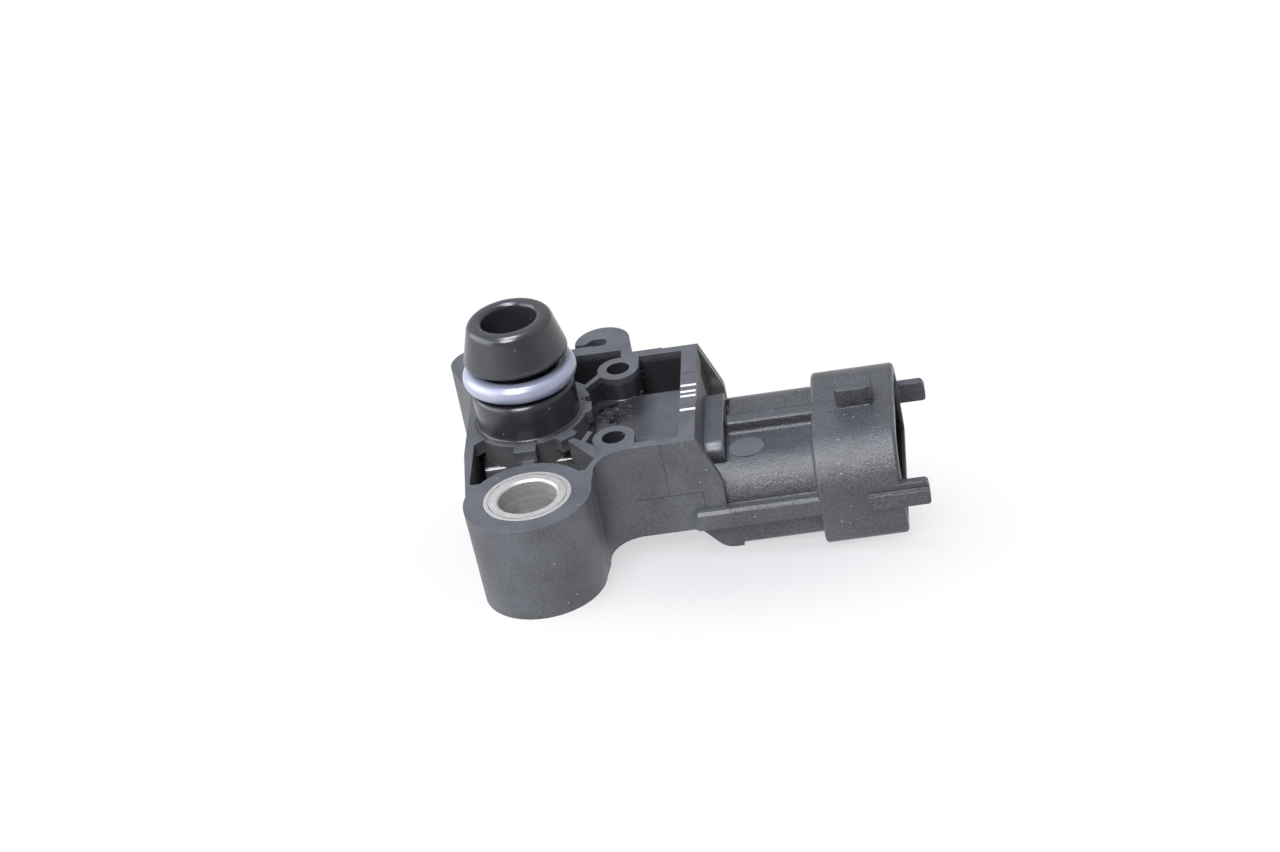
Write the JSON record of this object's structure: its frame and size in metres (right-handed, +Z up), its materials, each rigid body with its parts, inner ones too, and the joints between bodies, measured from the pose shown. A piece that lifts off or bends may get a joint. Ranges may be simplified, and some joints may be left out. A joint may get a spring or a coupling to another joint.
{
  "type": "manifold absolute pressure sensor",
  "caption": "Intake manifold pressure sensor: black moulded body with an O-ring sealed port, a bushed screw boss and a shrouded plug connector.",
  "frame": {"origin": "point where the axis of the pressure port meets the plane of the flange top", "axes": "+Z up along the port, away from the flange; +X towards the mouth of the connector; +Y away from the screw boss, towards the hook"},
  "size_m": [0.054, 0.0423, 0.0285],
  "materials": {
    "housing_plastic": "matt, fine grain",
    "seal_rubber": "satin lavender grey",
    "bushing_steel": "turned",
    "cover_plastic": "matt",
    "adhesive": "cured silicone",
    "cell_plastic": "matt",
    "glass": "polished",
    "silicon": "polished wafer",
    "gel": "clear gel",
    "tinned_copper": "tinned",
    "gold": "drawn wire",
    "ceramic_block": "fired"
  },
  "bodies": {
    "root": {"housing": "housing_plastic", "o_ring": "seal_rubber", "mounting_bushing": "bushing_steel", "rear_cover": "cover_plastic", "cover_adhesive": "adhesive", "cell_body": "cell_plastic", "cell_seal": "adhesive", "glass_pedestal": "glass", "pressure_chip": "silicon", "protective_gel": "gel", "terminal_1": "tinned_copper", "terminal_2": "tinned_copper", "terminal_3": "tinned_copper", "cell_lead_1": "tinned_copper", "cell_lead_2": "tinned_copper", "cell_lead_3": "tinned_copper", "bond_wire_1": "gold", "bond_wire_2": "gold", "bond_wire_3": "gold", "capacitor_1": "ceramic_block", "capacitor_2": "ceramic_block"}
  },
  "joints": []
}
